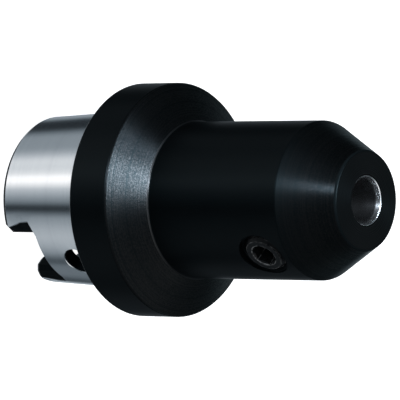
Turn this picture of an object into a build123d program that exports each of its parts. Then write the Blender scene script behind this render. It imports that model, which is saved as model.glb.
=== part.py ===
from build123d import *

import os
from math import radians, sqrt, tan

# Side lock end mill holder for 12 mm tool shanks, with a hollow taper shank of standard size 63.
#
# Frame, in millimetres: +Z is the tool axis with the nose up, and the origin is the centre of the
# flange's contact face. The side lock screw, one drive slot and one key access hole look along -Y.

# Hollow taper shank, below the contact face
SHANK_LENGTH = 32.0
TAPER_RATIO = 9.98                # axis length for each millimetre of diameter
GAUGE_DIAMETER = 48.01
GAUGE_DEPTH = 6.3                 # from the contact face to the gauge circle
SHANK_END_BREAK = (0.85, 1.5)     # radial and axial size of the lead at the shank's end
ROOT_GROOVE = (0.4, 1.6)          # depth and width of the relief in the taper's root
FACE_GROOVE = (0.25, 0.6)         # depth and width of the relief in the contact face beside it
RING_BORE_DIAMETER = 34.0
RING_BORE_BREAK = 0.8
SHOULDER_DIAMETER = 37.0          # where the clamping shoulder is measured
SHOULDER_DEPTH = 18.13
SHOULDER_ANGLE = 30.0             # from the tool axis
CHAMBER_DIAMETER = 40.0
CHAMBER_FLOOR_DEPTH = 2.0
CHAMBER_CORNER_RADIUS = 2.5

# Drive slots and the ledges beside them, at the shank's end
DRIVE_SLOT_WIDTH = 12.54
DRIVE_SLOT_DEPTH = 11.0
DRIVE_SLOT_CORNER_RADIUS = 1.0
DRIVE_SLOT_EDGE_BREAK = 1.15      # between the slot's side and the ledge
LEDGE_HEIGHT = 20.05              # from the tool axis
LEDGE_RUN_OUT = 1.9               # height and length of the slope from the ledge to the slot's floor
LEDGE_CLIMB = 0.2                 # how fast the ledge climbs sideways at the shank's end
LEDGE_CLIMB_LENGTH = 4.5          # along the shank, up to the lead at its end
LEDGE_HALF_SPAN = 14.0
ACCESS_HOLE_DIAMETER = 8.5
ACCESS_HOLE_DEPTH = 9.1           # from the contact face to the hole's centre
ACCESS_HOLE_BREAK = 0.7

# Flange, body and nose, above the contact face
FLANGE_DIAMETER = 63.0
FLANGE_WIDTH = 12.5
FLANGE_CONE_ANGLE = 60.0          # from the tool axis
BODY_DIAMETER = 42.0
BODY_ROOT_RADIUS = 0.8
HOLDER_HEIGHT = 75.0              # contact face to nose face
NOSE_FACE_DIAMETER = 26.0
NOSE_ANGLE = 30.0                 # from the tool axis
EDGE_BREAK = 0.35
NOSE_EDGE_BREAK = 0.2

# Tool bore and coolant way
TOOL_BORE_DIAMETER = 12.0
TOOL_BORE_FLOOR = 26.0            # height of the bore's full-diameter end
MOUTH_DIAMETER = 13.1
MOUTH_BREAK = 0.2
MOUTH_LEAD_ANGLE = 15.0           # from the tool axis
DRILL_POINT_ANGLE = 59.0          # from the tool axis
COOLANT_WAY_DIAMETER = 8.0
TUBE_SEAT_DIAMETER = 21.0
TUBE_SEAT_FLOOR = 0.5
TUBE_THREAD_DIAMETER = 18.0       # M18 x 1, drawn as a plain hole
TUBE_THREAD_FLOOR = 11.0

# Side lock screw and its hole
SCREW_HEIGHT = 52.5               # from the contact face to the screw's axis
SCREW_THREAD_DIAMETER = 12.0      # M12 x 1.75, drawn plain
SCREW_CLEARANCE = 0.05            # radial, all round the screw
SCREW_HOLE_DIAMETER = SCREW_THREAD_DIAMETER - 2 * SCREW_CLEARANCE
SCREW_LENGTH = 12.0
SCREW_TOP = 20.4                  # from the tool axis to the screw's outer face
SCREW_POINT_DIAMETER = 8.5
SCREW_TOP_BREAK = 0.9
SOCKET_WIDTH = 6.0                # across flats
SOCKET_DEPTH = 6.0
SOCKET_BREAK = 0.35
SPOT_FACE_DIAMETER = 14.0
SPOT_FACE_TOP = 19.6              # from the tool axis to the spot face
SCREW_HOLE_BREAK = 0.55

OUTSIDE = 40.0                    # beyond every surface of the holder


def taper_radius(height):
    """Radius of the ground taper at a height, which is negative below the contact face"""
    return GAUGE_DIAMETER / 2 + (height + GAUGE_DEPTH) / (2 * TAPER_RATIO)


def cone_rise(radius_change, angle):
    """Height over which a cone at this angle from the axis changes its radius"""
    return radius_change / tan(radians(angle))


def turned(points):
    """Solid turned about Z from its half section, given as (radius, height) points"""
    section = Polyline([(radius, 0, height) for radius, height in points], close=True)
    return revolve(make_face(section), Axis.Z)


def outer_profile():
    """Outside of the holder, from the shank's end to the nose face"""
    end_radial, end_axial = SHANK_END_BREAK
    groove_depth, groove_width = ROOT_GROOVE
    face_groove_depth, face_groove_width = FACE_GROOVE
    end = -SHANK_LENGTH
    flange = FLANGE_DIAMETER / 2
    body = BODY_DIAMETER / 2
    nose = NOSE_FACE_DIAMETER / 2
    body_start = FLANGE_WIDTH + cone_rise(flange - body, FLANGE_CONE_ANGLE)
    nose_start = HOLDER_HEIGHT - cone_rise(body - nose, NOSE_ANGLE)
    return [
        (taper_radius(end) - end_radial, end),
        (taper_radius(end + end_axial), end + end_axial),
        (taper_radius(-groove_width - groove_depth), -groove_width - groove_depth),
        (taper_radius(-groove_width) - groove_depth, -groove_width),
        (taper_radius(0) - groove_depth, face_groove_depth),
        (taper_radius(0) + face_groove_width, 0),
        (flange - EDGE_BREAK, 0),
        (flange, EDGE_BREAK),
        (flange, FLANGE_WIDTH),
        (body, body_start),
        (body, nose_start),
        (nose, HOLDER_HEIGHT),
    ]


def inner_profile():
    """Inside of the holder, from the nose face down to the shank's end"""
    bore = TOOL_BORE_DIAMETER / 2
    mouth = MOUTH_DIAMETER / 2
    lead_top = HOLDER_HEIGHT - MOUTH_BREAK
    lead = cone_rise(mouth - MOUTH_BREAK - bore, MOUTH_LEAD_ANGLE)
    way = COOLANT_WAY_DIAMETER / 2
    thread = TUBE_THREAD_DIAMETER / 2
    seat = TUBE_SEAT_DIAMETER / 2
    chamber = CHAMBER_DIAMETER / 2
    ring = RING_BORE_DIAMETER / 2
    shoulder = SHOULDER_DIAMETER / 2
    end = -SHANK_LENGTH
    return [
        (mouth, HOLDER_HEIGHT),
        (mouth - MOUTH_BREAK, lead_top),
        (bore, lead_top - lead),
        (bore, TOOL_BORE_FLOOR),
        (way, TOOL_BORE_FLOOR - cone_rise(bore - way, DRILL_POINT_ANGLE)),
        (way, TUBE_THREAD_FLOOR),
        (thread, TUBE_THREAD_FLOOR),
        (thread, TUBE_SEAT_FLOOR),
        (seat, TUBE_SEAT_FLOOR),
        (seat, -CHAMBER_FLOOR_DEPTH),
        (chamber, -CHAMBER_FLOOR_DEPTH),
        (chamber, -SHOULDER_DEPTH + cone_rise(chamber - shoulder, SHOULDER_ANGLE)),
        (ring, -SHOULDER_DEPTH - cone_rise(shoulder - ring, SHOULDER_ANGLE)),
        (ring, end + RING_BORE_BREAK),
        (ring + RING_BORE_BREAK, end),
    ]


def circles_at(solid, radius, height):
    """Circular edges of this radius at this height"""
    return [
        edge
        for edge in solid.edges().filter_by(GeomType.CIRCLE)
        if abs(edge.radius - radius) < 0.01 and abs(edge.center().Z - height) < 0.01
    ]


def turned_blank():
    """The holder as it leaves the lathe: shank, flange, body and nose with the bores along the axis"""
    blank = turned(outer_profile() + inner_profile())
    body = BODY_DIAMETER / 2
    body_start = FLANGE_WIDTH + cone_rise(FLANGE_DIAMETER / 2 - body, FLANGE_CONE_ANGLE)
    nose_start = HOLDER_HEIGHT - cone_rise(body - NOSE_FACE_DIAMETER / 2, NOSE_ANGLE)
    blank = fillet(circles_at(blank, body, body_start), BODY_ROOT_RADIUS)
    blank = fillet(circles_at(blank, CHAMBER_DIAMETER / 2, -CHAMBER_FLOOR_DEPTH), CHAMBER_CORNER_RADIUS)
    blank = chamfer(circles_at(blank, FLANGE_DIAMETER / 2, FLANGE_WIDTH), EDGE_BREAK)
    blank = chamfer(circles_at(blank, body, nose_start), NOSE_EDGE_BREAK)
    return chamfer(circles_at(blank, NOSE_FACE_DIAMETER / 2, HOLDER_HEIGHT), NOSE_EDGE_BREAK)


def slot_section(height, climb, lead):
    """Cross-section of a drive slot and of the room above its ledges, at a height along the shank"""
    side = DRIVE_SLOT_WIDTH / 2 + lead
    ledge = LEDGE_HEIGHT - lead
    ledge_start = side + DRIVE_SLOT_EDGE_BREAK
    half = [
        (side, RING_BORE_DIAMETER / 4),
        (side, ledge - DRIVE_SLOT_EDGE_BREAK),
        (ledge_start, ledge),
        (LEDGE_HALF_SPAN, ledge + climb * (LEDGE_HALF_SPAN - ledge_start)),
        (LEDGE_HALF_SPAN, OUTSIDE),
    ]
    other_half = [(-across, out) for across, out in reversed(half)]
    outline = [(across, -out, height) for across, out in half + other_half]
    return make_face(Polyline(outline, close=True))


def slot_through_wall(floor, reach):
    """The drive slot itself, with rounded corners in its floor"""
    slot = Pos(0, -RING_BORE_DIAMETER / 4, floor) * Box(
        DRIVE_SLOT_WIDTH, OUTSIDE, reach, align=(Align.CENTER, Align.MAX, Align.MAX)
    )
    floor_corners = slot.edges().filter_by(Axis.Y).group_by(Axis.Z)[-1]
    return fillet(floor_corners, DRIVE_SLOT_CORNER_RADIUS)


def ledge_limit(floor, reach):
    """Where the ledges may be milled: up to the slot's floor, along a slope that starts at the ledge"""
    slope_start = LEDGE_HEIGHT - reach
    outline = [
        (0, -slope_start, floor - LEDGE_RUN_OUT - reach),
        (0, -LEDGE_HEIGHT - LEDGE_RUN_OUT, floor),
        (0, -OUTSIDE, floor),
        (0, -OUTSIDE, floor - LEDGE_RUN_OUT - reach),
    ]
    return extrude(make_face(Polyline(outline, close=True)), OUTSIDE, dir=(1, 0, 0), both=True)


def drive_slot_cutter():
    """What the milling of one drive slot takes out: the slot through the wall and the ledges beside it"""
    floor = -SHANK_LENGTH + DRIVE_SLOT_DEPTH
    reach = DRIVE_SLOT_DEPTH + 4
    lead_radial, lead_axial = SHANK_END_BREAK
    lead_start = -SHANK_LENGTH + lead_axial
    ledges = loft(
        [
            slot_section(lead_start - 2 * lead_axial, LEDGE_CLIMB, 2 * lead_radial),
            slot_section(lead_start, LEDGE_CLIMB, 0),
            slot_section(lead_start + LEDGE_CLIMB_LENGTH, 0, 0),
            slot_section(floor + 1, 0, 0),
        ],
        ruled=True,
    )
    return slot_through_wall(floor, reach) + (ledges & ledge_limit(floor, reach))


def radial(tool, height):
    """A cutter made along +Z from the axis, laid along -Y at a height on the holder"""
    return Pos(0, 0, height) * Rot(X=90) * tool


def access_hole_cutter():
    """Key access hole through the shank's wall, with a broken rim"""
    radius = ACCESS_HOLE_DIAMETER / 2
    flare_tip = taper_radius(-ACCESS_HOLE_DEPTH) - ACCESS_HOLE_BREAK - radius
    flare_reach = 2 * radius
    hole = Cylinder(radius, OUTSIDE, align=(Align.CENTER, Align.CENTER, Align.MIN))
    flare = turned([(0, flare_tip), (flare_reach, flare_tip + flare_reach), (0, flare_tip + flare_reach)])
    return radial(hole + flare, -ACCESS_HOLE_DEPTH)


def screw_hole_cutter():
    """Side lock screw's hole from the tool bore to a spot face on the body, with a broken mouth"""
    hole = SCREW_HOLE_DIAMETER / 2
    mouth = hole + SCREW_HOLE_BREAK
    cutter = turned([
        (0, 0),
        (hole, 0),
        (hole, SPOT_FACE_TOP - SCREW_HOLE_BREAK),
        (mouth, SPOT_FACE_TOP),
        (SPOT_FACE_DIAMETER / 2, SPOT_FACE_TOP),
        (SPOT_FACE_DIAMETER / 2, OUTSIDE),
        (0, OUTSIDE),
    ])
    return radial(cutter, SCREW_HEIGHT)


def holder_body():
    """Hollow taper shank, flange, body and nose, made from one bar"""
    body = turned_blank() - screw_hole_cutter()
    for half_turn in (Rot(), Rot(Z=180)):
        body -= half_turn * drive_slot_cutter()
        body -= half_turn * access_hole_cutter()
    return body


def socket_cutter():
    """Hexagon socket with a drilled bottom and a broken mouth, cut down from the screw's outer face"""
    corner = SOCKET_WIDTH / sqrt(3)
    flat = SOCKET_WIDTH / 2
    hexagon = extrude(RegularPolygon(corner, 6), -SOCKET_DEPTH)
    drill_tip = -SOCKET_DEPTH - cone_rise(flat, DRILL_POINT_ANGLE)
    drilled = turned([(0, drill_tip), (flat, -SOCKET_DEPTH), (0, -SOCKET_DEPTH)])
    flare = turned([(0, -corner), (corner + SOCKET_BREAK, SOCKET_BREAK), (0, SOCKET_BREAK)])
    return hexagon + drilled + flare


def side_lock_screw():
    """Socket set screw with a flat point, which presses on the tool shank's flat"""
    radius = SCREW_HOLE_DIAMETER / 2 - SCREW_CLEARANCE
    point = SCREW_POINT_DIAMETER / 2
    blank = turned([
        (0, 0),
        (point, 0),
        (radius, radius - point),
        (radius, SCREW_LENGTH - SCREW_TOP_BREAK),
        (radius - SCREW_TOP_BREAK, SCREW_LENGTH),
        (0, SCREW_LENGTH),
    ])
    screw = blank - Pos(0, 0, SCREW_LENGTH) * socket_cutter()
    return radial(Pos(0, 0, SCREW_TOP - SCREW_LENGTH) * screw, SCREW_HEIGHT)


def main():
    """Writes each piece to its own file"""
    os.makedirs("parts", exist_ok=True)
    for make in (holder_body, side_lock_screw):
        piece = make()
        export_step(piece, f"parts/{make.__name__}.step")
        print(make.__name__, "volume", round(piece.volume), "mm3")


main()
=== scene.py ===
"""Dressed model of a side lock end mill holder with a hollow taper shank.

Everything is in metres and in the frame of the CAD model: +Z is the tool axis with the nose up, the
origin is the centre of the flange's contact face, and the side lock screw looks along -Y.
"""

import logging
from dataclasses import dataclass
from enum import Enum
from math import cos, degrees, pi, radians, sin, sqrt

import bmesh
import bpy
from mathutils import Matrix, Vector


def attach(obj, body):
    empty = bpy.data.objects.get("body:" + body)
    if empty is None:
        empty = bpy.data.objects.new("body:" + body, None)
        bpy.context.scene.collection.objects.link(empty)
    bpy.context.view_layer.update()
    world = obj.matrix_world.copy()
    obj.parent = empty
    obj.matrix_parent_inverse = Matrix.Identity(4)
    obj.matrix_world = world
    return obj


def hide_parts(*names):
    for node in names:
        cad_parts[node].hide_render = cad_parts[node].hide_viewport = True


MM = 0.001

Socket = bpy.types.NodeSocket
Limits = tuple[float, float]
Three = tuple[float, float, float]
Four = tuple[float, float, float, float]
Band = tuple[Limits, Limits]

log = logging.getLogger("holder")

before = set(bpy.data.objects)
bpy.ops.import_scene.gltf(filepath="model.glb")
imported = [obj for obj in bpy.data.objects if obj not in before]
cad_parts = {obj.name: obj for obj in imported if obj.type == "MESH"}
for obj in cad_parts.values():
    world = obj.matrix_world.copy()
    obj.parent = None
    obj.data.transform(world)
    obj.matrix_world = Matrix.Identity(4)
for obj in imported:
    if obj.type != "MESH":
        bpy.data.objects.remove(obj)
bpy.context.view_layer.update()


class Side(Enum):
    """Which side of a thread's surface holds the metal."""

    OUTSIDE = 1.0
    INSIDE = -1.0


# Shader and node helpers


class Wiring:
    """Adds and joins the nodes of one tree."""

    def __init__(self, tree: bpy.types.NodeTree) -> None:
        """Keeps the tree and empties it."""
        self.tree = tree
        tree.nodes.clear()

    def add(self, kind: str, **settings: object) -> bpy.types.Node:
        """Adds a node.

        Args:
            kind: The node's type.
            settings: Properties of the node and their values.

        Returns:
            The new node.
        """
        node = self.tree.nodes.new(kind)
        for name, value in settings.items():
            setattr(node, name, value)
        return node

    def feed(self, target: Socket, value: object) -> None:
        """Joins a socket to the target, or sets the target to a plain value.

        Args:
            target: The input socket.
            value: An output socket, a number or a tuple.
        """
        if isinstance(value, Socket):
            self.tree.links.new(value, target)
        else:
            target.default_value = value

    def maths(self, operation: str, *values: object, clamp: bool = False) -> Socket:
        """Adds a maths node.

        Args:
            operation: The node's operation.
            values: One value for each of its inputs.
            clamp: Whether the result is held between 0 and 1.

        Returns:
            The result's socket.
        """
        node = self.add("ShaderNodeMath", operation=operation, use_clamp=clamp)
        for socket, value in zip(node.inputs, values):
            self.feed(socket, value)
        return node.outputs[0]

    def vector(self, operation: str, *values: object) -> bpy.types.Node:
        """Adds a vector maths node.

        Args:
            operation: The node's operation.
            values: One value for each of its inputs.

        Returns:
            The node.
        """
        node = self.add("ShaderNodeVectorMath", operation=operation)
        for socket, value in zip(node.inputs, values):
            self.feed(socket, value)
        return node

    def within(self, value: object, low: float, high: float, edge: float) -> Socket:
        """Mask that is 1 where a value lies between two limits, with a soft edge.

        Args:
            value: The value's socket.
            low: The lower limit.
            high: The upper limit.
            edge: The width over which the mask fades.

        Returns:
            The mask's socket.
        """
        rising = self.maths("DIVIDE", self.maths("SUBTRACT", value, low), edge, clamp=True)
        falling = self.maths("DIVIDE", self.maths("SUBTRACT", high, value), edge, clamp=True)
        return self.maths("MULTIPLY", rising, falling)

    def mix(self, factor: object, first: object, second: object, colour: bool = False) -> Socket:
        """Blends two values or two colours.

        Args:
            factor: 0 for the first and 1 for the second.
            first: The first value.
            second: The second value.
            colour: Whether they are colours.

        Returns:
            The blend's socket.
        """
        node = self.add("ShaderNodeMix", data_type="RGBA" if colour else "FLOAT")
        inputs = [s for s in node.inputs if s.enabled]
        for socket, value in zip(inputs, (factor, first, second)):
            self.feed(socket, value)
        return next(s for s in node.outputs if s.enabled)

    def noise(self, place: object, scale: float, detail: float = 2.0, rough: float = 0.5) -> Socket:
        """Adds a noise pattern.

        Args:
            place: The coordinates' socket.
            scale: How many features there are in a metre.
            detail: The number of finer layers.
            rough: The strength of the finer layers.

        Returns:
            The socket of the pattern's value, from 0 to 1.
        """
        node = self.add("ShaderNodeTexNoise")
        self.feed(node.inputs["Vector"], place)
        node.inputs["Scale"].default_value = scale
        node.inputs["Detail"].default_value = detail
        node.inputs["Roughness"].default_value = rough
        return node.outputs["Fac"]

    def bump(self, height: Socket, strength: float, depth: float) -> Socket:
        """Adds a bump.

        Args:
            height: The pattern's socket.
            strength: How much of the bump shows.
            depth: The height of a full bump.

        Returns:
            The socket of the bent normal.
        """
        node = self.add("ShaderNodeBump")
        node.inputs["Strength"].default_value = strength
        node.inputs["Distance"].default_value = depth
        self.feed(node.inputs["Height"], height)
        return node.outputs[0]


@dataclass(frozen=True)
class Lathe:
    """Coordinates that a turned surface's pattern follows."""

    place: Socket
    radius: Socket
    height: Socket
    profile: Socket
    around: Socket


def lathe_coordinates(wiring: Wiring) -> Lathe:
    """Object coordinates of a surface that was turned about the tool axis.

    Args:
        wiring: The material's wiring.

    Returns:
        The place, the radius and height, both as one profile vector, and the direction of turning.
    """
    place = wiring.add("ShaderNodeTexCoord").outputs["Object"]
    split = wiring.add("ShaderNodeSeparateXYZ")
    wiring.feed(split.inputs[0], place)
    flat = wiring.vector("MULTIPLY", place, (1, 1, 0)).outputs[0]
    radius = wiring.vector("LENGTH", flat).outputs["Value"]
    join = wiring.add("ShaderNodeCombineXYZ")
    wiring.feed(join.inputs[0], radius)
    wiring.feed(join.inputs[1], split.outputs[2])
    turning = wiring.vector("CROSS_PRODUCT", (0, 0, 1), flat).outputs[0]
    around = wiring.vector("NORMALIZE", turning).outputs[0]
    return Lathe(place, radius, split.outputs[2], join.outputs[0], around)


# Finishes


@dataclass(frozen=True)
class HolderFinish:
    """Satin black oxide over turned steel, with the fitting surfaces ground bright."""

    oxide: Three = (0.0006, 0.0010, 0.0013)
    oxide_worn: Three = (0.0010, 0.0015, 0.0018)
    steel: Three = (0.60, 0.61, 0.62)
    steel_dull: Three = (0.52, 0.53, 0.545)
    # Painted shade: the bore's steel is darkened for the shade inside it, and near black deep in it.
    bore_steel_painted_shade: Three = (0.22, 0.225, 0.23)
    painted_shade_far_in_bore: Three = (0.02, 0.021, 0.022)
    gloss_level: float = 0.04
    gloss_tint: Four = (0.70, 1.0, 1.12, 1.0)
    grain: float = 0.72
    grain_turn: float = 0.25

    oxide_roughness: float = 0.36
    steel_roughness: float = 0.16
    bore_roughness: float = 0.22
    last_edge_roughness: float = 0.85
    front_roughness: float = 0.27
    groove_roughening: float = 0.09
    marks_gloss: float = -0.10
    unevenness: float = 0.08
    bump_strength: float = 0.25
    bump_depth: float = 0.004 * MM

    ring_scale: float = 3600
    broad_scale: float = 900
    patina_scale: float = 120
    speckle_scale: float = 2600

    thin_oxide: float = 0.013
    thin_metal: float = 0.85
    marks_offset: float = 0.14
    marks_gain: float = 3.4
    # Painted highlight: the body's root is made bare steel to brighten the line of light along it.
    root_painted_highlight: float = 3.5
    back_edge_wear: float = 30.0
    lead_in_share: float = 0.5

    # The taper's gauge circle, and the slope of its radius.
    gauge_radius: float = 24.005 * MM
    gauge_depth: float = 6.3 * MM
    taper: float = 1 / 9.98 / 2

    # Height limits in millimetres. A cone's roughness, and the painted highlight of the nose's marks, run
    # from one level at its back to another at its front.
    flange_cone: Limits = (12.2, 18.6)
    nose_cone: Limits = (61.2, 74.6)
    nose_painted_highlight: Limits = (0.35, 1.05)
    groove_side: Limits = (-7.5, -3.5)
    cone_roughening: tuple[Band, ...] = (((12.2, 18.6), (0.005, -0.035)), ((61.1, 74.6), (0.07, -0.06)))
    roughening_fade: float = 0.1 * MM
    marks_fade: float = 0.2 * MM

    # Bands of the profile in millimetres: the radius, or the distance from the taper, and then the height.
    taper_wall: Band = ((-0.16, 0.03), (-30.55, -0.6))
    contact_face: Band = ((24.9, 31.2), (-0.04, 0.04))
    whole_bore: Band = ((5.5, 6.6), (25.9, 74.95))
    shank_end: Band = ((17.2, 22.8), (-32.06, -31.94))
    clamping_bore: Band = ((16.9, 17.1), (-31.2, -20.5))
    clamping_shoulder: Band = ((17.02, 19.9), (-20.7, -15.7))
    last_edge: Band = ((12.4, 13.3), (74.5, 74.97))
    front_face: Band = ((6.5, 12.62), (74.9, 75.2))
    # Painted highlight: the body's root, which is made bare steel.
    body_root: Band = ((20.9, 21.4), (18.2, 18.72))
    back_edge: Band = ((31.1, 31.6), (0.02, 0.40))
    # Painted shade: the deep part of the bore, whose steel is near black.
    bore_depth: Band = ((5.5, 6.03), (25.9, 64.3))
    bore_mouth: Band = ((5.5, 6.03), (25.9, 73.6))
    lead_in: Band = ((5.95, 6.4), (73.4, 74.75))

    def ground(self, wiring: Wiring, lathe: Lathe) -> Socket:
        """Mask of the surfaces that are ground bright.

        Args:
            wiring: The material's wiring.
            lathe: The lathe coordinates.

        Returns:
            The mask's socket.
        """
        rise = wiring.maths("MULTIPLY", wiring.maths("ADD", lathe.height, self.gauge_depth), self.taper)
        off_taper = wiring.maths("SUBTRACT", lathe.radius, wiring.maths("ADD", rise, self.gauge_radius))
        total = self.band(wiring, off_taper, lathe.height, self.taper_wall)
        inside = (self.whole_bore, self.clamping_bore, self.clamping_shoulder)
        for limits in (self.contact_face, self.shank_end, *inside):
            total = wiring.maths("MAXIMUM", total, self.on_profile(wiring, lathe, limits))
        return total

    @staticmethod
    def band(wiring: Wiring, across: Socket, along: Socket, limits: Band) -> Socket:
        """Mask of a band of the profile.

        Args:
            wiring: The material's wiring.
            across: The radius, or the distance from a surface.
            along: The height.
            limits: The limits of the two, in millimetres.

        Returns:
            The mask's socket.
        """
        edge = 0.02 * MM
        pairs = zip((across, along), limits)
        masks = [wiring.within(value, low * MM, high * MM, edge) for value, (low, high) in pairs]
        return wiring.maths("MULTIPLY", *masks)

    def on_profile(self, wiring: Wiring, lathe: Lathe, limits: Band) -> Socket:
        """Mask of a band of radius and height, with limits in millimetres."""
        return self.band(wiring, lathe.radius, lathe.height, limits)

    @staticmethod
    def ramp(wiring: Wiring, value: Socket, heights: Limits, levels: Limits) -> Socket:
        """Value that runs evenly from one level to another between two heights.

        Args:
            wiring: The material's wiring.
            value: The height.
            heights: The two heights in millimetres.
            levels: The level at and below the first height, and at and above the second.

        Returns:
            The level's socket.
        """
        spread = wiring.add("ShaderNodeMapRange")
        wiring.feed(spread.inputs["Value"], value)
        numbers = (heights[0] * MM, heights[1] * MM, *levels)
        for name, number in zip(("From Min", "From Max", "To Min", "To Max"), numbers):
            spread.inputs[name].default_value = number
        return spread.outputs[0]

    def satin(self, wiring: Wiring, lathe: Lathe, grain: Socket) -> Socket:
        """Roughness of the oxide: coarser at the back of each cone and dull on the nose's last edge.

        Args:
            wiring: The material's wiring.
            lathe: The lathe coordinates.
            grain: The pattern of the turning marks.

        Returns:
            The roughness's socket.
        """
        total = wiring.maths("ADD", self.oxide_roughness, wiring.maths("MULTIPLY", grain, self.marks_gloss))
        for heights, levels in self.cone_roughening:
            change = self.ramp(wiring, lathe.height, heights, levels)
            held = wiring.within(lathe.height, heights[0] * MM, heights[1] * MM, self.roughening_fade)
            total = wiring.maths("ADD", total, wiring.maths("MULTIPLY", change, held))
        total = wiring.mix(self.on_profile(wiring, lathe, self.last_edge), total, self.last_edge_roughness)
        return wiring.mix(self.on_profile(wiring, lathe, self.front_face), total, self.front_roughness)

    def thin_oxide_and_painted_highlights(self, wiring: Wiring, lathe: Lathe, grain: Socket) -> Socket:
        """Thin oxide on the cones' turning marks and the back edge, and painted highlights on the root and
        nose.

        Args:
            wiring: The material's wiring.
            lathe: The lathe coordinates.
            grain: The pattern of the turning marks.

        Returns:
            The socket of the thinness, 1 on the marks, more on the back edge and the root's painted
            highlight.
        """
        fade = self.marks_fade
        cones = (self.flange_cone, self.nose_cone)
        flange, nose = (wiring.within(lathe.height, low * MM, high * MM, fade) for low, high in cones)
        # Painted highlight: the nose's turning marks scale from 0.35 at its back to 1.05 at its front,
        # brightening it there.
        painted_highlight_ramp = self.ramp(wiring, lathe.height, self.nose_cone, self.nose_painted_highlight)
        on_cones = wiring.maths("MAXIMUM", flange, wiring.maths("MULTIPLY", nose, painted_highlight_ramp))
        lifted = wiring.maths("ADD", grain, self.marks_offset)
        marks = wiring.maths("MULTIPLY", lifted, self.marks_gain, clamp=True)
        # Painted highlight: bare steel at the body's root.
        root = wiring.maths("MULTIPLY", self.on_profile(wiring, lathe, self.body_root), self.root_painted_highlight)
        back = wiring.maths("MULTIPLY", self.on_profile(wiring, lathe, self.back_edge), self.back_edge_wear)
        edges = wiring.maths("ADD", root, back)
        return wiring.maths("MAXIMUM", wiring.maths("MULTIPLY", marks, on_cones), edges)

    def material(self) -> bpy.types.Material:
        """Makes the material.

        Returns:
            The holder's material.
        """
        made = bpy.data.materials.new("holder_black_oxide_and_ground_steel")
        made.use_nodes = True
        wiring = Wiring(made.node_tree)
        lathe = lathe_coordinates(wiring)
        ground = self.ground(wiring, lathe)
        rings = wiring.noise(lathe.profile, self.ring_scale, detail=3.0, rough=0.6)
        broad = wiring.noise(lathe.profile, self.broad_scale, detail=2.0)
        patina = wiring.noise(lathe.place, self.patina_scale, detail=4.0, rough=0.6)
        speckle = wiring.noise(lathe.place, self.speckle_scale, detail=2.0, rough=0.7)
        grain = wiring.maths("SUBTRACT", wiring.maths("ADD", rings, speckle), 1.0)
        # Painted shade: the bore's wall is darkened steel, near black deep in it, and the lead-in takes half
        # of it.
        deep_shade_mask = self.on_profile(wiring, lathe, self.bore_depth)
        mouth = self.on_profile(wiring, lathe, self.bore_mouth)
        lead_in = self.on_profile(wiring, lathe, self.lead_in)
        in_bore = wiring.maths("MAXIMUM", mouth, wiring.maths("MULTIPLY", lead_in, self.lead_in_share))
        oxide = wiring.mix(patina, (*self.oxide, 1), (*self.oxide_worn, 1), colour=True)
        shank = wiring.mix(broad, (*self.steel_dull, 1), (*self.steel, 1), colour=True)
        bore = wiring.mix(deep_shade_mask, (*self.bore_steel_painted_shade, 1), (*self.painted_shade_far_in_bore, 1), colour=True)
        steel = wiring.mix(in_bore, shank, bore, colour=True)
        # thin holds the cones' turning marks, the worn back edge and the painted highlights of the root and
        # the nose's front.
        thin = self.thin_oxide_and_painted_highlights(wiring, lathe, grain)
        shown = wiring.maths("MAXIMUM", ground, wiring.maths("MULTIPLY", thin, self.thin_oxide))
        metal = wiring.maths("MAXIMUM", ground, wiring.maths("MULTIPLY", thin, self.thin_metal, clamp=True))
        levels = (self.steel_roughness, self.steel_roughness + self.groove_roughening)
        shank_finish = self.ramp(wiring, lathe.height, self.groove_side, levels)
        steel_finish = wiring.mix(in_bore, shank_finish, self.bore_roughness)
        roughness = wiring.mix(ground, self.satin(wiring, lathe, grain), steel_finish)
        uneven = wiring.maths("MULTIPLY", wiring.maths("SUBTRACT", rings, 0.5), self.unevenness)
        gloss = wiring.mix(metal, self.gloss_tint, (1, 1, 1, 1), colour=True)
        shader = wiring.add("ShaderNodeBsdfPrincipled")
        wiring.feed(shader.inputs["Base Color"], wiring.mix(shown, oxide, steel, colour=True))
        wiring.feed(shader.inputs["Metallic"], metal)
        wiring.feed(shader.inputs["Roughness"], wiring.maths("ADD", roughness, uneven, clamp=True))
        wiring.feed(shader.inputs["Specular Tint"], gloss)
        shader.inputs["Specular IOR Level"].default_value = self.gloss_level
        shader.inputs["Anisotropic"].default_value = self.grain
        shader.inputs["Anisotropic Rotation"].default_value = self.grain_turn
        wiring.feed(shader.inputs["Tangent"], lathe.around)
        wiring.feed(shader.inputs["Normal"], wiring.bump(rings, self.bump_strength, self.bump_depth))
        out = wiring.add("ShaderNodeOutputMaterial")
        wiring.feed(out.inputs["Surface"], shader.outputs[0])
        return made


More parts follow.
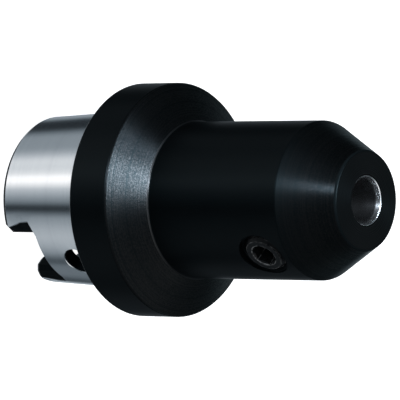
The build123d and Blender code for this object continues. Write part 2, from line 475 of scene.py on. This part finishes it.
@dataclass(frozen=True)
class OiledScrewFinish:
    """Black oxide with a film of oil and rubbed edges, on a rolled screw or a tapped hole."""

    name: str
    edges: tuple[Three, ...] = ()
    colour: Three = (0.0012, 0.0015, 0.0018)
    worn: Three = (0.0040, 0.0045, 0.0050)
    bare: Three = (0.45, 0.46, 0.47)
    height: float = 52.5 * MM
    roughness: float = 0.30
    spread: float = 0.22
    gloss_level: float = 0.10
    patch_scale: float = 700
    fine_scale: float = 9000
    break_scale: float = 900
    break_level: float = 0.36
    break_gain: float = 3.2
    edge_fade: float = 0.05 * MM
    bump_strength: float = 0.3
    bump_depth: float = 0.004 * MM

    def rubbed_edges(self, wiring: Wiring, place: Socket) -> Socket:
        """Mask of the edges where keys and threads have rubbed the oxide thin.

        Args:
            wiring: The material's wiring.
            place: The object coordinates.

        Returns:
            The mask's socket.
        """
        split = wiring.add("ShaderNodeSeparateXYZ")
        wiring.feed(split.inputs[0], place)
        rise = wiring.maths("SUBTRACT", split.outputs[2], self.height)
        squares = [wiring.maths("POWER", value, 2.0) for value in (split.outputs[0], rise)]
        radius = wiring.maths("SQRT", wiring.maths("ADD", *squares))
        broken = wiring.maths("SUBTRACT", wiring.noise(place, self.break_scale, detail=2.0), self.break_level)
        share = wiring.maths("MULTIPLY", broken, self.break_gain, clamp=True)
        total: object = 0.0
        for inner, outer, strength in self.edges:
            ring = wiring.within(radius, inner * MM, outer * MM, self.edge_fade)
            total = wiring.maths("MAXIMUM", total, wiring.maths("MULTIPLY", ring, strength))
        return wiring.maths("MULTIPLY", total, share)

    def material(self) -> bpy.types.Material:
        """Makes the material.

        Returns:
            The screw's or thread's material.
        """
        made = bpy.data.materials.new(self.name)
        made.use_nodes = True
        wiring = Wiring(made.node_tree)
        place = wiring.add("ShaderNodeTexCoord").outputs["Object"]
        patches = wiring.noise(place, self.patch_scale, detail=4.0, rough=0.62)
        fine = wiring.noise(place, self.fine_scale, detail=2.0)
        rubbed = self.rubbed_edges(wiring, place)
        shader = wiring.add("ShaderNodeBsdfPrincipled")
        base = wiring.mix(patches, (*self.colour, 1), (*self.worn, 1), colour=True)
        wiring.feed(shader.inputs["Base Color"], wiring.mix(rubbed, base, (*self.bare, 1), colour=True))
        wiring.feed(shader.inputs["Metallic"], rubbed)
        spread = wiring.maths("MULTIPLY", wiring.maths("SUBTRACT", patches, 0.5), self.spread)
        wiring.feed(shader.inputs["Roughness"], wiring.maths("ADD", spread, self.roughness, clamp=True))
        shader.inputs["Specular IOR Level"].default_value = self.gloss_level
        wiring.feed(shader.inputs["Normal"], wiring.bump(fine, self.bump_strength, self.bump_depth))
        out = wiring.add("ShaderNodeOutputMaterial")
        wiring.feed(out.inputs["Surface"], shader.outputs[0])
        return made


# Threads

MERGE_GAP = 0.002 * MM
THINNEST_FACE = 0.0005 * MM
SHARP_ANGLE = radians(32)


@dataclass(frozen=True)
class ThreadForm:
    """Sizes of one run of screw thread, along its own +Z before it is placed."""

    crest: float
    root: float
    pitch: float
    length: float
    phase: float = 0.0
    start_radius: float = 0.0
    end_radius: float = 0.0
    lead_slope: float = 1.0
    side: Side = Side.OUTSIDE
    segments: int = 96
    rows_per_turn: int = 16

    def inputs(self) -> dict[str, float]:
        """The values of the thread tree's named inputs."""
        return {
            "Crest radius": self.crest,
            "Root radius": self.root,
            "Pitch": self.pitch,
            "Length": self.length,
            "Phase": self.phase,
            "Start radius": self.start_radius,
            "End radius": self.end_radius,
            "Lead slope": self.lead_slope,
            "Side": self.side.value,
            "Segments": self.segments,
            "Rows": int(self.rows_per_turn * (self.length / self.pitch + 1)) + 1,
            "Rows per turn": self.rows_per_turn,
        }


class ThreadTree:
    """Geometry Nodes tree that winds a sixty degree thread and joins it to the piece's own mesh."""

    WHOLE = ("Segments", "Rows", "Rows per turn")

    # Shares of half a pitch, from the middle of the root: the root's flat, and then the flank.
    ROOT_FLAT = 0.25
    FLANK = 0.625

    # Whole turns that keep the share of a turn above zero.
    SPARE_TURNS = 8

    def __init__(self) -> None:
        """Builds the tree."""
        self.group = bpy.data.node_groups.new("wound_thread", "GeometryNodeTree")
        self.sockets: dict[str, str] = {}
        face = self.group.interface
        face.new_socket("Geometry", in_out="INPUT", socket_type="NodeSocketGeometry")
        for name in ThreadForm(1, 1, 1, 1).inputs():
            kind = "NodeSocketInt" if name in self.WHOLE else "NodeSocketFloat"
            self.sockets[name] = face.new_socket(name, in_out="INPUT", socket_type=kind).identifier
        for name, kind in (("Turn", "Rotation"), ("Place", "Vector"), ("Finish", "Material")):
            socket = face.new_socket(name, in_out="INPUT", socket_type="NodeSocket" + kind)
            self.sockets[name] = socket.identifier
        face.new_socket("Geometry", in_out="OUTPUT", socket_type="NodeSocketGeometry")
        self.wire()

    def wire(self) -> None:
        """Joins the nodes: a grid is wound on the thread's surface, closed at its seam and placed."""
        wiring = Wiring(self.group)
        given = wiring.add("NodeGroupInput").outputs
        grid = wiring.add("GeometryNodeMeshGrid")
        grid.inputs["Size X"].default_value = 1.0
        grid.inputs["Size Y"].default_value = 1.0
        wiring.feed(grid.inputs["Vertices X"], given["Rows"])
        wiring.feed(grid.inputs["Vertices Y"], wiring.maths("ADD", given["Segments"], 1))
        split = wiring.add("ShaderNodeSeparateXYZ")
        wiring.feed(split.inputs[0], wiring.add("GeometryNodeInputPosition").outputs[0])
        turn_share = wiring.maths("ADD", split.outputs[1], 0.5)
        last_row = wiring.maths("SUBTRACT", given["Rows"], 1)
        row_share = wiring.maths("ADD", split.outputs[0], 0.5)
        row = wiring.maths("ROUND", wiring.maths("MULTIPLY", row_share, last_row))
        turns = wiring.maths("SUBTRACT", wiring.maths("DIVIDE", row, given["Rows per turn"]), 1)
        along = wiring.maths("MULTIPLY", wiring.maths("ADD", turns, turn_share), given["Pitch"])
        height = wiring.maths("MINIMUM", wiring.maths("MAXIMUM", along, 0), given["Length"])
        radius = self.radius(wiring, given, turns, height)
        angle = wiring.maths("MULTIPLY", turn_share, 2 * pi)
        join = wiring.add("ShaderNodeCombineXYZ")
        wiring.feed(join.inputs[0], wiring.maths("MULTIPLY", radius, wiring.maths("COSINE", angle)))
        wiring.feed(join.inputs[1], wiring.maths("MULTIPLY", radius, wiring.maths("SINE", angle)))
        wiring.feed(join.inputs[2], height)
        wound = wiring.add("GeometryNodeSetPosition")
        wiring.feed(wound.inputs["Geometry"], grid.outputs["Mesh"])
        wiring.feed(wound.inputs["Position"], join.outputs[0])
        placed = wiring.add("GeometryNodeTransform")
        wiring.feed(placed.inputs["Geometry"], wound.outputs[0])
        wiring.feed(placed.inputs["Rotation"], given["Turn"])
        wiring.feed(placed.inputs["Translation"], given["Place"])
        both = wiring.add("GeometryNodeJoinGeometry")
        wiring.feed(both.inputs[0], placed.outputs[0])
        wiring.feed(both.inputs[0], given["Geometry"])
        merged = wiring.add("GeometryNodeMergeByDistance")
        wiring.feed(merged.inputs["Geometry"], both.outputs[0])
        merged.inputs["Distance"].default_value = MERGE_GAP
        real = wiring.add("GeometryNodeRealizeInstances")
        wiring.feed(real.inputs[0], merged.outputs[0])
        finished = wiring.add("GeometryNodeSetMaterial")
        wiring.feed(finished.inputs["Geometry"], real.outputs[0])
        wiring.feed(finished.inputs["Material"], given["Finish"])
        wiring.feed(wiring.add("NodeGroupOutput").inputs[0], finished.outputs[0])

    def radius(self, wiring: Wiring, given: object, turns: Socket, height: Socket) -> Socket:
        """Radius of the thread's surface, with a lead at both ends.

        Args:
            wiring: The tree's wiring.
            given: The group input's sockets.
            turns: How many turns a row lies from the start.
            height: The height along the thread.

        Returns:
            The radius's socket.
        """
        turned = wiring.maths("ADD", wiring.maths("ADD", turns, given["Phase"]), self.SPARE_TURNS)
        share = wiring.maths("FRACT", turned)
        from_root = wiring.maths("ABSOLUTE", wiring.maths("SUBTRACT", wiring.maths("MULTIPLY", share, 2), 1))
        climb = wiring.maths("SUBTRACT", from_root, self.ROOT_FLAT)
        flank = wiring.maths("DIVIDE", climb, self.FLANK, clamp=True)
        depth = wiring.maths("SUBTRACT", given["Crest radius"], given["Root radius"])
        profile = wiring.maths("ADD", given["Root radius"], wiring.maths("MULTIPLY", depth, flank))
        side = given["Side"]
        bound = wiring.maths("MULTIPLY", profile, side)
        left = wiring.maths("SUBTRACT", given["Length"], height)
        for name, distance in (("Start radius", height), ("End radius", left)):
            lead = wiring.maths("MULTIPLY", distance, given["Lead slope"])
            limit = wiring.maths("ADD", wiring.maths("MULTIPLY", given[name], side), lead)
            bound = wiring.maths("MINIMUM", bound, limit)
        return wiring.maths("MULTIPLY", bound, side)


@dataclass
class ThreadMaker:
    """Winds threads with one shared tree."""

    tree: ThreadTree

    def wind(
        self,
        piece: bpy.types.Object,
        form: ThreadForm,
        finish: bpy.types.Material,
        turn: Three,
        place: Three,
    ) -> bpy.types.Object:
        """Winds a thread, joins it to the piece's own mesh and makes the result a plain mesh.

        Args:
            piece: The object whose mesh the thread is joined to.
            form: The thread's sizes.
            finish: The material of the whole piece.
            turn: The thread's rotation.
            place: Where the thread starts.

        Returns:
            The finished object.
        """
        modifier = piece.modifiers.new("thread", "NODES")
        modifier.node_group = self.tree.group
        for name, value in form.inputs().items():
            modifier[self.tree.sockets[name]] = value
        modifier[self.tree.sockets["Turn"]] = turn
        modifier[self.tree.sockets["Place"]] = place
        modifier[self.tree.sockets["Finish"]] = finish
        graph = bpy.context.evaluated_depsgraph_get()
        mesh = bpy.data.meshes.new_from_object(piece.evaluated_get(graph))
        piece.modifiers.remove(modifier)
        old = piece.data
        piece.data = mesh
        bpy.data.meshes.remove(old)
        mesh.name = piece.name
        close_mesh(mesh)
        return piece


def close_mesh(mesh: bpy.types.Mesh) -> None:
    """Merges doubles, drops faces without area, turns all faces outwards and keeps sharp edges sharp.

    Args:
        mesh: The mesh to finish.
    """
    shape = bmesh.new()
    shape.from_mesh(mesh)
    bmesh.ops.remove_doubles(shape, verts=shape.verts, dist=MERGE_GAP)
    bmesh.ops.dissolve_degenerate(shape, edges=shape.edges, dist=THINNEST_FACE)
    bmesh.ops.recalc_face_normals(shape, faces=shape.faces)
    shape.to_mesh(mesh)
    shape.free()
    mesh.shade_smooth()
    mesh.set_sharp_from_angle(angle=SHARP_ANGLE)


def piece_of_rings(name: str, rings: list[list[Vector]], closed: tuple[bool, bool]) -> bpy.types.Object:
    """Skins a stack of rings that all have the same number of points.

    Args:
        name: The piece's name.
        rings: The rings, in order.
        closed: Whether the first and the last ring are closed to their middle.

    Returns:
        The new object.
    """
    shape = bmesh.new()
    verts = [[shape.verts.new(point) for point in ring] for ring in rings]
    count = len(rings[0])
    for low, high in zip(verts, verts[1:]):
        for i in range(count):
            j = (i + 1) % count
            shape.faces.new((low[i], low[j], high[j], high[i]))
    for ring, wanted in ((verts[0], closed[0]), (verts[-1], closed[1])):
        if wanted:
            middle = shape.verts.new(sum((v.co for v in ring), Vector()) / count)
            for i in range(count):
                shape.faces.new((middle, ring[i], ring[(i + 1) % count]))
    mesh = bpy.data.meshes.new(name)
    shape.to_mesh(mesh)
    shape.free()
    piece = bpy.data.objects.new(name, mesh)
    bpy.context.scene.collection.objects.link(piece)
    return piece


def circle(radius: float, height: float, count: int) -> list[Vector]:
    """Points of a circle about +Z, starting on +X.

    Args:
        radius: Its radius.
        height: Its height.
        count: The number of points.

    Returns:
        The points.
    """
    angles = [2 * pi * i / count for i in range(count)]
    return [Vector((radius * cos(a), radius * sin(a), height)) for a in angles]


# Pieces


@dataclass
class SideLockScrew:
    """The socket set screw that presses on the flat of the tool shank."""

    height: float = 52.5 * MM
    top: float = 20.4 * MM
    length: float = 12.0 * MM
    crest: float = 5.9 * MM
    root: float = 4.96 * MM
    pitch: float = 1.75 * MM
    point_radius: float = 4.25 * MM
    top_radius: float = 5.0 * MM
    socket_width: float = 6.0 * MM
    socket_depth: float = 6.0 * MM
    countersink: float = 0.1 * MM
    drill_clearance: float = 0.05 * MM
    drill_tip: float = 0.3 * MM
    drill_depth: float = 1.5 * MM
    point_land: float = 0.6 * MM
    rubbed: tuple[Three, ...] = ((3.36, 3.68, 0.30), (4.86, 5.12, 0.12), (5.72, 5.95, 0.10))
    segments: int = 96

    @property
    def corner(self) -> float:
        """Radius of the hexagon's corners."""
        return self.socket_width / sqrt(3)

    @property
    def turn(self) -> Three:
        """Rotation that lays the screw's own +Z along -Y."""
        return (pi / 2, 0.0, 0.0)

    @property
    def place(self) -> Three:
        """Where the screw's point lies."""
        return (0.0, self.length - self.top, self.height)

    def lay(self, points: list[Vector]) -> list[Vector]:
        """Takes points from the screw's own frame to the holder's."""
        matrix = Matrix.Translation(self.place) @ Matrix.Rotation(self.turn[0], 4, "X")
        return [matrix @ point for point in points]

    def socket_outline(self, height: float) -> list[Vector]:
        """Hexagon points at the same angles as the screw's circle points, with a corner on +X."""
        points = []
        for i in range(self.segments):
            angle = 2 * pi * i / self.segments
            from_flat = (angle % (pi / 3)) - pi / 6
            radius = self.socket_width / 2 / cos(from_flat)
            points.append(Vector((radius * cos(angle), radius * sin(angle), height)))
        return points

    def socket_mouth(self) -> list[Vector]:
        """Where the 45 degree countersink meets the hexagon's flats."""
        rim = self.length - self.corner - self.countersink
        return [Vector((p.x, p.y, rim + p.to_2d().length)) for p in self.socket_outline(0.0)]

    def head_and_point(self) -> bpy.types.Object:
        """Skins the outer face, the socket and the flat point, which the thread then joins.

        Returns:
            The new object.
        """
        count = self.segments
        floor = self.length - self.socket_depth
        rings = [
            circle(self.top_radius, self.length, count),
            circle(self.corner + self.countersink, self.length, count),
            self.socket_mouth(),
            self.socket_outline(floor),
            circle(self.socket_width / 2 - self.drill_clearance, floor, count),
            circle(self.drill_tip, floor - self.drill_depth, count),
        ]
        head = piece_of_rings("side_lock_screw_threaded", [self.lay(ring) for ring in rings], (False, True))
        shape = bmesh.new()
        shape.from_mesh(head.data)
        ring = [shape.verts.new(p) for p in self.lay(circle(self.point_radius, 0.0, count))]
        land = circle(self.point_radius - self.point_land, 0.0, count)
        inner = [shape.verts.new(p) for p in self.lay(land)]
        middle = shape.verts.new(self.lay([Vector((0, 0, 0))])[0])
        for i in range(count):
            j = (i + 1) % count
            shape.faces.new((inner[i], inner[j], ring[j], ring[i]))
            shape.faces.new((middle, inner[j], inner[i]))
        shape.to_mesh(head.data)
        shape.free()
        return head

    def build(self, maker: ThreadMaker) -> bpy.types.Object:
        """Builds the screw and lets it stand for the CAD model's plain one.

        Args:
            maker: The thread maker.

        Returns:
            The screw.
        """
        form = ThreadForm(
            crest=self.crest,
            root=self.root,
            pitch=self.pitch,
            length=self.length,
            start_radius=self.point_radius,
            end_radius=self.top_radius,
            segments=self.segments,
        )
        finish = OiledScrewFinish("screw_black_oxide", self.rubbed).material()
        screw = maker.wind(self.head_and_point(), form, finish, self.turn, self.place)
        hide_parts("side_lock_screw")
        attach(screw, "lock_screw")
        return screw


@dataclass
class TappedHole:
    """The ridges of a tapped hole, as a thin sleeve that lines the CAD model's plain wall."""

    name: str
    wall: float
    ridge: float
    pitch: float
    length: float
    phase: float
    turn: Three
    place: Three
    segments: int = 96
    sink: float = 0.012 * MM
    rubbed: tuple[Three, ...] = ((4.9, 5.12, 0.12),)

    def build(self, maker: ThreadMaker) -> bpy.types.Object:
        """Builds the sleeve.

        Args:
            maker: The thread maker.

        Returns:
            The sleeve.
        """
        matrix = Matrix.Translation(self.place) @ Matrix.Rotation(self.turn[0], 4, "X")
        rings = [circle(self.wall, height, self.segments) for height in (0.0, self.length)]
        sleeve = piece_of_rings(self.name, [[matrix @ p for p in ring] for ring in rings], (False, False))
        form = ThreadForm(
            crest=self.wall - self.sink,
            root=self.ridge,
            pitch=self.pitch,
            length=self.length,
            phase=self.phase,
            start_radius=self.wall,
            end_radius=self.wall,
            side=Side.INSIDE,
            segments=self.segments,
        )
        finish = OiledScrewFinish(self.name + "_oiled", self.rubbed).material()
        sleeve = maker.wind(sleeve, form, finish, self.turn, self.place)
        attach(sleeve, "holder")
        return sleeve


# The screw hole's ridges are in step with the screw at rest, whose point lies 8.4 mm from the tool axis.
SCREW_HOLE = TappedHole(
    name="screw_hole_thread",
    wall=5.948 * MM,
    ridge=5.02 * MM,
    pitch=1.75 * MM,
    length=12.8 * MM,
    phase=(6.1875 - 8.4) / 1.75,
    turn=(pi / 2, 0.0, 0.0),
    place=(0.0, -6.1875 * MM, 52.5 * MM),
)
TUBE_HOLE = TappedHole(
    name="coolant_tube_thread",
    wall=8.998 * MM,
    ridge=8.46 * MM,
    pitch=1.0 * MM,
    length=10.4 * MM,
    phase=0.0,
    turn=(0.0, 0.0, 0.0),
    place=(0.0, 0.0, 0.55 * MM),
    segments=120,
)


@dataclass
class HolderBody:
    """The shank, flange, body and nose, which keep their CAD shape."""

    node: str = "holder_body"

    def dress(self) -> bpy.types.Object:
        """Gives the CAD node its finish.

        Returns:
            The node's object.
        """
        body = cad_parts[self.node]
        finish = HolderFinish().material()
        for slot in body.material_slots:
            slot.material = finish
        return body


# Stage


@dataclass(frozen=True)
class PhotoCamera:
    """The photograph's view: the tool axis lies across the picture with the nose to the right."""

    target: Three = (0.0, 0.0, 0.01923)
    distance: float = 1.1655
    tilt: float = 39.43
    roll: float = 0.23
    focal_pixels: float = 4353.7
    middle: tuple[float, float] = (200.35, 199.98)
    picture: float = 400.0
    sensor: float = 36.0

    def place(self) -> bpy.types.Object:
        """Adds the camera and makes it the scene's own.

        Returns:
            The camera.
        """
        axis = Vector((0, 0, 1))
        away = Vector((1, 1, 0)).normalized()
        across = Vector((-1, 1, 0)).normalized()
        lean = radians(self.tilt)
        back = axis * sin(lean) - away * cos(lean)
        right = axis * cos(lean) + away * sin(lean)
        turn = radians(self.roll)
        picture_right = right * cos(turn) + across * sin(turn)
        picture_up = across * cos(turn) - right * sin(turn)
        data = bpy.data.cameras.new("photo_camera")
        data.sensor_width = self.sensor
        data.lens = self.focal_pixels * self.sensor / self.picture
        data.clip_start = 0.01
        data.clip_end = 50.0
        data.shift_x = (self.picture / 2 - self.middle[0]) / self.picture
        data.shift_y = (self.middle[1] - self.picture / 2) / self.picture
        camera = bpy.data.objects.new("photo_camera", data)
        bpy.context.scene.collection.objects.link(camera)
        place = Vector(self.target) + back * self.distance
        rotation = Matrix((picture_right, picture_up, back)).transposed().to_4x4()
        camera.matrix_world = Matrix.Translation(place) @ rotation
        bpy.context.scene.camera = camera
        return camera


def direction(azimuth: float, elevation: float) -> Vector:
    """Direction from the holder, with azimuth 0 towards the camera's side and 90 towards the picture's top.

    Args:
        azimuth: Degrees about the tool axis.
        elevation: Degrees above the floor.

    Returns:
        The unit vector.
    """
    near = Vector((-1, -1, 0)).normalized()
    top = Vector((-1, 1, 0)).normalized()
    flat = near * cos(radians(azimuth)) + top * sin(radians(azimuth))
    return flat * cos(radians(elevation)) + Vector((0, 0, 1)) * sin(radians(elevation))


@dataclass(frozen=True)
class SoftBox:
    """A rectangular softbox that looks at the holder."""

    name: str
    azimuth: float
    elevation: float
    distance: float
    width: float
    length: float
    radiance: float
    colour: Three = (1.0, 1.0, 1.0)
    turn: float = 0.0
    aim: Three = (0.0, 0.0, 0.02)

    def place(self) -> bpy.types.Object:
        """Adds the light.

        Returns:
            The light's object.
        """
        data = bpy.data.lights.new(self.name, "AREA")
        data.shape = "RECTANGLE"
        data.size = self.width
        data.size_y = self.length
        data.color = self.colour
        data.energy = self.radiance * pi * self.width * self.length
        light = bpy.data.objects.new(self.name, data)
        bpy.context.scene.collection.objects.link(light)
        towards = direction(self.azimuth, self.elevation)
        spot = Vector(self.aim) + towards * self.distance
        aim = (-towards).to_track_quat("-Z", "Y").to_matrix().to_4x4()
        light.matrix_world = Matrix.Translation(spot) @ aim @ Matrix.Rotation(radians(self.turn), 4, "Z")
        light.visible_camera = False
        light.visible_diffuse = False
        return light


# Azimuth in degrees and brightness of the reflectors below the horizon. A ramp holds 32 stops at most.
LOWER_RING: tuple[Limits, ...] = (
    (-180, 1.00), (-164, 0.60), (-150, 0.03), (-126, 0.24), (-106, 0.26), (-97, 0.08),
    (-90, 0.17), (-81, 0.40), (-68, 0.62), (-55, 0.75), (-44, 0.67), (-26, 0.43),
    (-20, 0.20), (-15, 0.04), (-10, 0.06), (-4, 0.30), (3, 0.50), (14, 0.85),
    (20, 1.35), (26, 1.88), (31, 1.88), (37, 1.30), (45, 1.12), (56, 1.20),
    (69, 0.62), (76, 0.45), (99, 0.44), (107, 0.24), (115, 0.03), (138, 0.04),
    (153, 0.40),
)

# Sine of the elevation and brightness above the horizon.
UPPER_SKY: tuple[Limits, ...] = ((0.0, 0.05), (0.42, 0.12), (0.64, 0.40), (0.72, 0.30), (0.80, 0.08))

SOFT_BOXES: tuple[SoftBox, ...] = (
    SoftBox("overhead_softbox", 59, 74.8, 1.1, 0.25, 0.42, 190.0, (0.90, 1.0, 1.10)),
    SoftBox("side_softbox", 88, 61, 1.1, 0.17, 0.28, 66.0, (0.85, 1.0, 1.15)),
    SoftBox("nose_strip", 22.8, 21.5, 1.2, 0.22, 0.36, 62.0, (0.88, 1.0, 1.12)),
)


@dataclass
class Studio:
    """Pale floor, soft surroundings and softboxes."""

    floor_height: float = -32.02 * MM
    floor_half: float = 4.0
    floor_colour: Four = (0.86, 0.86, 0.86, 1)
    floor_roughness: float = 0.9

    # The ramp's colours hold the ring's brightness divided by this, so that none is over 1.
    ring_scale: float = 2.0

    # What is added to the sine of the elevation, and what the sum is divided by, for the lower ring's share.
    horizon: Limits = (0.05, -0.2)

    # The sky glows away from the picture's top and above the first number of the rise, which is a sine of
    # the elevation; the second is how steeply the glow sets in.
    glow_side: float = 0.45
    glow_rise: Limits = (0.42, 5.0)
    glow_level: float = 1.3

    # Dim light is bluish, and bright light is white.
    dim_tint: Four = (0.72, 1.0, 1.22, 1)
    whiteness: float = 0.8

    def floor(self) -> bpy.types.Object:
        """Adds the pale floor, which gloss doesn't see.

        Returns:
            The floor.
        """
        corners = [(-1, -1), (1, -1), (1, 1), (-1, 1)]
        mesh = bpy.data.meshes.new("floor")
        points = [(x * self.floor_half, y * self.floor_half, self.floor_height) for x, y in corners]
        mesh.from_pydata(points, [], [(0, 1, 2, 3)])
        floor = bpy.data.objects.new("floor", mesh)
        bpy.context.scene.collection.objects.link(floor)
        paint = bpy.data.materials.new("pale_floor")
        paint.use_nodes = True
        wiring = Wiring(paint.node_tree)
        shader = wiring.add("ShaderNodeBsdfPrincipled")
        shader.inputs["Base Color"].default_value = self.floor_colour
        shader.inputs["Roughness"].default_value = self.floor_roughness
        shader.inputs["Specular IOR Level"].default_value = 0.0
        shader.inputs["Emission Color"].default_value = (1, 1, 1, 1)
        shader.inputs["Emission Strength"].default_value = 1.0
        out = wiring.add("ShaderNodeOutputMaterial")
        wiring.feed(out.inputs["Surface"], shader.outputs[0])
        mesh.materials.append(paint)
        floor.visible_glossy = False
        return floor

    def surroundings(self) -> bpy.types.World:
        """Adds the surroundings: reflectors around below, and above them a dim sky that glows on one side.

        Returns:
            The world.
        """
        world = bpy.data.worlds.new("studio_surroundings")
        world.use_nodes = True
        wiring = Wiring(world.node_tree)
        look = wiring.add("ShaderNodeTexCoord").outputs["Generated"]
        near = wiring.vector("DOT_PRODUCT", look, direction(0, 0)).outputs["Value"]
        top = wiring.vector("DOT_PRODUCT", look, direction(90, 0)).outputs["Value"]
        high = wiring.vector("DOT_PRODUCT", look, (0, 0, 1)).outputs["Value"]
        around = wiring.maths("ARCTAN2", top, near)
        share = wiring.maths("ADD", wiring.maths("DIVIDE", around, 2 * pi), 0.5)
        ring = wiring.add("ShaderNodeValToRGB")
        wiring.feed(ring.inputs[0], share)
        self.fill_ramp(ring.color_ramp, LOWER_RING)
        lower = wiring.maths("MULTIPLY", ring.outputs[0], self.ring_scale)
        sky = wiring.add("ShaderNodeValToRGB")
        wiring.feed(sky.inputs[0], wiring.maths("MULTIPLY", high, 1.0, clamp=True))
        self.fill_sky(sky.color_ramp)
        offset, depth = self.horizon
        below = wiring.maths("DIVIDE", wiring.maths("ADD", high, offset), depth, clamp=True)
        aside = wiring.maths("SUBTRACT", self.glow_side, top, clamp=True)
        start, steepness = self.glow_rise
        raised = wiring.maths("MULTIPLY", wiring.maths("SUBTRACT", high, start), steepness, clamp=True)
        glow = wiring.maths("MULTIPLY", wiring.maths("MULTIPLY", aside, raised), self.glow_level)
        level = wiring.mix(below, wiring.maths("ADD", sky.outputs[0], glow), lower)
        whiteness = wiring.maths("MULTIPLY", wiring.maths("SQRT", level), self.whiteness, clamp=True)
        tint = wiring.mix(whiteness, self.dim_tint, (1, 1, 1, 1), colour=True)
        back = wiring.add("ShaderNodeBackground")
        wiring.feed(back.inputs["Color"], tint)
        wiring.feed(back.inputs["Strength"], level)
        plain = wiring.add("ShaderNodeBackground")
        plain.inputs["Color"].default_value = (1, 1, 1, 1)
        plain.inputs["Strength"].default_value = 1.0
        choice = wiring.add("ShaderNodeMixShader")
        wiring.feed(choice.inputs[0], wiring.add("ShaderNodeLightPath").outputs["Is Camera Ray"])
        wiring.feed(choice.inputs[1], back.outputs[0])
        wiring.feed(choice.inputs[2], plain.outputs[0])
        out = wiring.add("ShaderNodeOutputWorld")
        wiring.feed(out.inputs["Surface"], choice.outputs[0])
        bpy.context.scene.world = world
        return world

    def fill_ramp(self, ramp: bpy.types.ColorRamp, stops: tuple[Limits, ...]) -> None:
        """Fills the grey ramp of the reflectors.

        Args:
            ramp: The ramp.
            stops: Azimuth in degrees and brightness, in order.
        """
        ramp.interpolation = "LINEAR"
        while len(ramp.elements) > 1:
            ramp.elements.remove(ramp.elements[0])
        for number, (azimuth, level) in enumerate(stops):
            spot = azimuth / 360 + 0.5
            stop = ramp.elements[0] if number == 0 else ramp.elements.new(spot)
            stop.position = spot
            stop.color = (*[level / self.ring_scale] * 3, 1)

    @staticmethod
    def fill_sky(ramp: bpy.types.ColorRamp) -> None:
        """Fills the ramp of the upper half, from the horizon up to the dark ceiling."""
        for number, (height, level) in enumerate(UPPER_SKY):
            stop = ramp.elements[number] if number < 2 else ramp.elements.new(height)
            stop.position = height
            stop.color = (level, level, level, 1)

    def build(self) -> None:
        """Builds the floor, the surroundings and the lights, and sets the picture's tones."""
        self.floor()
        self.surroundings()
        for box in SOFT_BOXES:
            box.place()
        scene = bpy.context.scene
        scene.view_settings.view_transform = "Standard"
        scene.view_settings.look = "None"


def main() -> None:
    """Builds the holder and its stage."""
    logging.basicConfig(level=logging.INFO, format="%(name)s: %(message)s")
    maker = ThreadMaker(ThreadTree())
    body = HolderBody().dress()
    screw = SideLockScrew().build(maker)
    tapped, tube = (hole.build(maker) for hole in (SCREW_HOLE, TUBE_HOLE))
    for piece in (body, screw, tapped, tube):
        log.info("%s: %d faces", piece.name, len(piece.data.polygons))
    Studio().build()
    camera = PhotoCamera().place()
    log.info("camera lens %.1f mm, field %.2f degrees", camera.data.lens, degrees(camera.data.angle))


if __name__ == "__main__":
    main()
